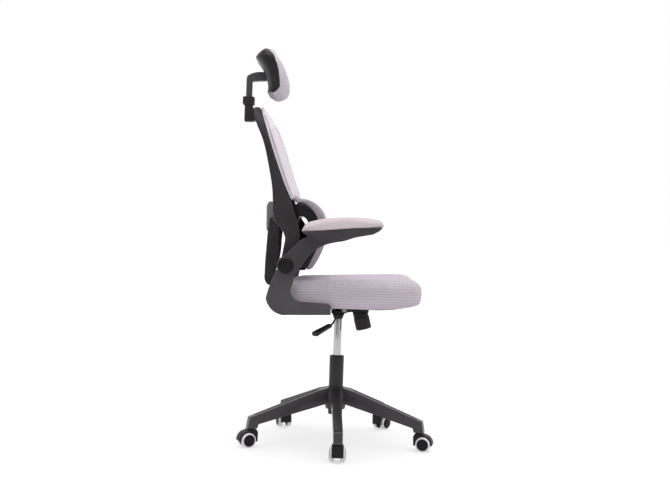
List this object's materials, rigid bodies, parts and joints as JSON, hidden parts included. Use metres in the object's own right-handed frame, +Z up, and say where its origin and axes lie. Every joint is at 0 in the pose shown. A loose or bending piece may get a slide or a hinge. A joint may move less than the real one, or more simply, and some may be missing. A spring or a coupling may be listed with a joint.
{
  "type": "ergonomic swivel chair",
  "caption": "High-back swivel task chair with mesh back, sliding lumbar support, flip-up armrests, tilting headrest, gas lift and five-leg caster base.",
  "frame": {"origin": "on the gas lift's axis at floor level", "axes": "+Z up, -Y towards the front of the chair, +X towards the sitter's left"},
  "size_m": [0.6183, 0.6774, 1.318],
  "materials": {
    "base_nylon": "satin, fine moulded grain",
    "caster_plastic": "satin",
    "steel": "bright",
    "chrome": "polished",
    "black_enamel": "semi-gloss",
    "frame_plastic": "fine leather-like moulded grain",
    "black_plastic": "satin",
    "grey_plastic": "satin",
    "lilac_fabric": "ribbed mesh weave",
    "pad_fabric": "fine weave",
    "plywood": "dark stained underside",
    "zinc": "dark zinc"
  },
  "bodies": {
    "base": {"star_base": "base_nylon", "caster_stems": "steel", "gas_cylinder": "black_enamel", "guide_bush": "black_plastic", "thrust_bearing": "steel", "piston_rod": "steel"},
    "lift_tube": {"gas_tube": "chrome"},
    "lift": {"mechanism_housing": "black_enamel", "housing_pins": "steel", "spring_cup": "black_plastic", "tilt_spring": "steel"},
    "seat": {"seat_plate": "black_enamel", "seat_board": "plywood", "seat_cushion": "lilac_fabric", "seat_bolts": "zinc", "bracket_left": "frame_plastic", "bracket_right": "frame_plastic", "arm_pivot_bolts": "zinc", "back_frame": "frame_plastic", "back_mesh": "lilac_fabric", "foot_bar": "black_enamel", "headrest_holder": "frame_plastic"},
    "knob": {"tension_knob": "black_plastic", "tension_bolt": "steel"},
    "release": {"release_pin": "steel"},
    "lever": {"lever_rod": "black_enamel", "lever_grip": "black_plastic"},
    "headrest_slider": {"headrest_post": "frame_plastic", "headrest_pin": "steel"},
    "headrest": {"headrest_shell": "frame_plastic", "headrest_cushion": "lilac_fabric"},
    "lumbar": {"lumbar_carrier": "grey_plastic", "lumbar_shell": "black_plastic", "lumbar_pad": "lilac_fabric"},
    "arm_left": {"arm_left_shell": "frame_plastic", "arm_left_pad": "pad_fabric", "arm_left_cap": "black_plastic"},
    "arm_right": {"arm_right_shell": "frame_plastic", "arm_right_pad": "pad_fabric", "arm_right_cap": "black_plastic"},
    "caster_1": {"caster_1_housing": "caster_plastic", "caster_1_axle": "steel"},
    "wheel_1_a": {"caster_1_wheel_a": "caster_plastic"},
    "wheel_1_b": {"caster_1_wheel_b": "caster_plastic"},
    "caster_2": {"caster_2_housing": "caster_plastic", "caster_2_axle": "steel"},
    "wheel_2_a": {"caster_2_wheel_a": "caster_plastic"},
    "wheel_2_b": {"caster_2_wheel_b": "caster_plastic"},
    "caster_3": {"caster_3_housing": "caster_plastic", "caster_3_axle": "steel"},
    "wheel_3_a": {"caster_3_wheel_a": "caster_plastic"},
    "wheel_3_b": {"caster_3_wheel_b": "caster_plastic"},
    "caster_4": {"caster_4_housing": "caster_plastic", "caster_4_axle": "steel"},
    "wheel_4_a": {"caster_4_wheel_a": "caster_plastic"},
    "wheel_4_b": {"caster_4_wheel_b": "caster_plastic"},
    "caster_5": {"caster_5_housing": "caster_plastic", "caster_5_axle": "steel"},
    "wheel_5_a": {"caster_5_wheel_a": "caster_plastic"},
    "wheel_5_b": {"caster_5_wheel_b": "caster_plastic"}
  },
  "joints": [
    {"name": "seat_height", "type": "slide", "parent": "base", "child": "lift_tube", "axis": [0, 0, 1], "range_m": [-0.1, 0]},
    {"name": "seat_swivel", "type": "hinge", "parent": "lift_tube", "child": "lift", "pos_m": [0, 0, 0.43], "axis": [0, 0, 1], "continuous": true},
    {"name": "seat_tilt", "type": "hinge", "parent": "lift", "child": "seat", "pos_m": [0, -0.02, 0.457], "axis": [-1, 0, 0], "range_deg": [0, 12], "stiffness_Nm_per_rad": 90, "springref_deg": -22.92},
    {"name": "tension_turn", "type": "hinge", "parent": "lift", "child": "knob", "pos_m": [0, -0.071, 0.46], "axis": [0, 0.2504, 0.9681], "continuous": true},
    {"name": "lever_lift", "type": "hinge", "parent": "lift", "child": "lever", "pos_m": [-0.03, 0, 0.4485], "axis": [0, 1, 0], "range_deg": [0, 5], "stiffness_Nm_per_rad": 2, "springref_deg": -6.88},
    {"name": "release_press", "type": "slide", "parent": "lift", "child": "release", "axis": [0, 0, -1], "range_m": [0, 0.003]},
    {"name": "headrest_height", "type": "slide", "parent": "seat", "child": "headrest_slider", "axis": [0, 0, 1], "range_m": [-0.015, 0.02]},
    {"name": "headrest_tilt", "type": "hinge", "parent": "headrest_slider", "child": "headrest", "pos_m": [0, 0.264, 1.248], "axis": [1, 0, 0], "range_deg": [-15, 8]},
    {"name": "lumbar_height", "type": "slide", "parent": "seat", "child": "lumbar", "axis": [0, 0, 1], "range_m": [-0.018, 0]},
    {"name": "arm_left_flip", "type": "hinge", "parent": "seat", "child": "arm_left", "pos_m": [0.265, 0.171, 0.609], "axis": [-1, 0, 0], "range_deg": [0, 70]},
    {"name": "arm_right_flip", "type": "hinge", "parent": "seat", "child": "arm_right", "pos_m": [-0.265, 0.171, 0.609], "axis": [-1, 0, 0], "range_deg": [0, 70]},
    {"name": "caster_1_swivel", "type": "hinge", "parent": "base", "child": "caster_1", "pos_m": [-0.29182, -0.01019, 0.06], "axis": [0, 0, 1], "continuous": true},
    {"name": "wheel_1_a_roll", "type": "hinge", "parent": "caster_1", "child": "wheel_1_a", "pos_m": [-0.27482, -0.01019, 0.0245], "axis": [0, 1, 0], "continuous": true},
    {"name": "wheel_1_b_roll", "type": "hinge", "parent": "caster_1", "child": "wheel_1_b", "pos_m": [-0.27482, -0.01019, 0.0245], "axis": [0, 1, 0], "continuous": true},
    {"name": "caster_2_swivel", "type": "hinge", "parent": "base", "child": "caster_2", "pos_m": [-0.08049, -0.28069, 0.06], "axis": [0, 0, 1], "continuous": true},
    {"name": "wheel_2_a_roll", "type": "hinge", "parent": "caster_2", "child": "wheel_2_a", "pos_m": [-0.08489, -0.29711, 0.0245], "axis": [0.9659, -0.2588, 0], "continuous": true},
    {"name": "wheel_2_b_roll", "type": "hinge", "parent": "caster_2", "child": "wheel_2_b", "pos_m": [-0.08489, -0.29711, 0.0245], "axis": [0.9659, -0.2588, 0], "continuous": true},
    {"name": "caster_3_swivel", "type": "hinge", "parent": "base", "child": "caster_3", "pos_m": [0.24208, -0.16328, 0.06], "axis": [0, 0, 1], "continuous": true},
    {"name": "wheel_3_a_roll", "type": "hinge", "parent": "caster_3", "child": "wheel_3_a", "pos_m": [0.25471, -0.17466, 0.0245], "axis": [0.6691, 0.7431, 0], "continuous": true},
    {"name": "wheel_3_b_roll", "type": "hinge", "parent": "caster_3", "child": "wheel_3_b", "pos_m": [0.25471, -0.17466, 0.0245], "axis": [0.6691, 0.7431, 0], "continuous": true},
    {"name": "caster_4_swivel", "type": "hinge", "parent": "base", "child": "caster_4", "pos_m": [0.2301, 0.17977, 0.06], "axis": [0, 0, 1], "continuous": true},
    {"name": "wheel_4_a_roll", "type": "hinge", "parent": "caster_4", "child": "wheel_4_a", "pos_m": [0.24607, 0.18559, 0.0245], "axis": [-0.342, 0.9397, 0], "continuous": true},
    {"name": "wheel_4_b_roll", "type": "hinge", "parent": "caster_4", "child": "wheel_4_b", "pos_m": [0.24607, 0.18559, 0.0245], "axis": [-0.342, 0.9397, 0], "continuous": true},
    {"name": "caster_5_swivel", "type": "hinge", "parent": "base", "child": "caster_5", "pos_m": [-0.09987, 0.27439, 0.06], "axis": [0, 0, 1], "continuous": true},
    {"name": "wheel_5_a_roll", "type": "hinge", "parent": "caster_5", "child": "wheel_5_a", "pos_m": [-0.10759, 0.28954, 0.0245], "axis": [-0.891, -0.454, 0], "continuous": true},
    {"name": "wheel_5_b_roll", "type": "hinge", "parent": "caster_5", "child": "wheel_5_b", "pos_m": [-0.10759, 0.28954, 0.0245], "axis": [-0.891, -0.454, 0], "continuous": true}
  ],
  "couplings": [
    {"joint": "release_press", "follows": "lever_lift", "m_per_rad": 0.034}
  ]
}
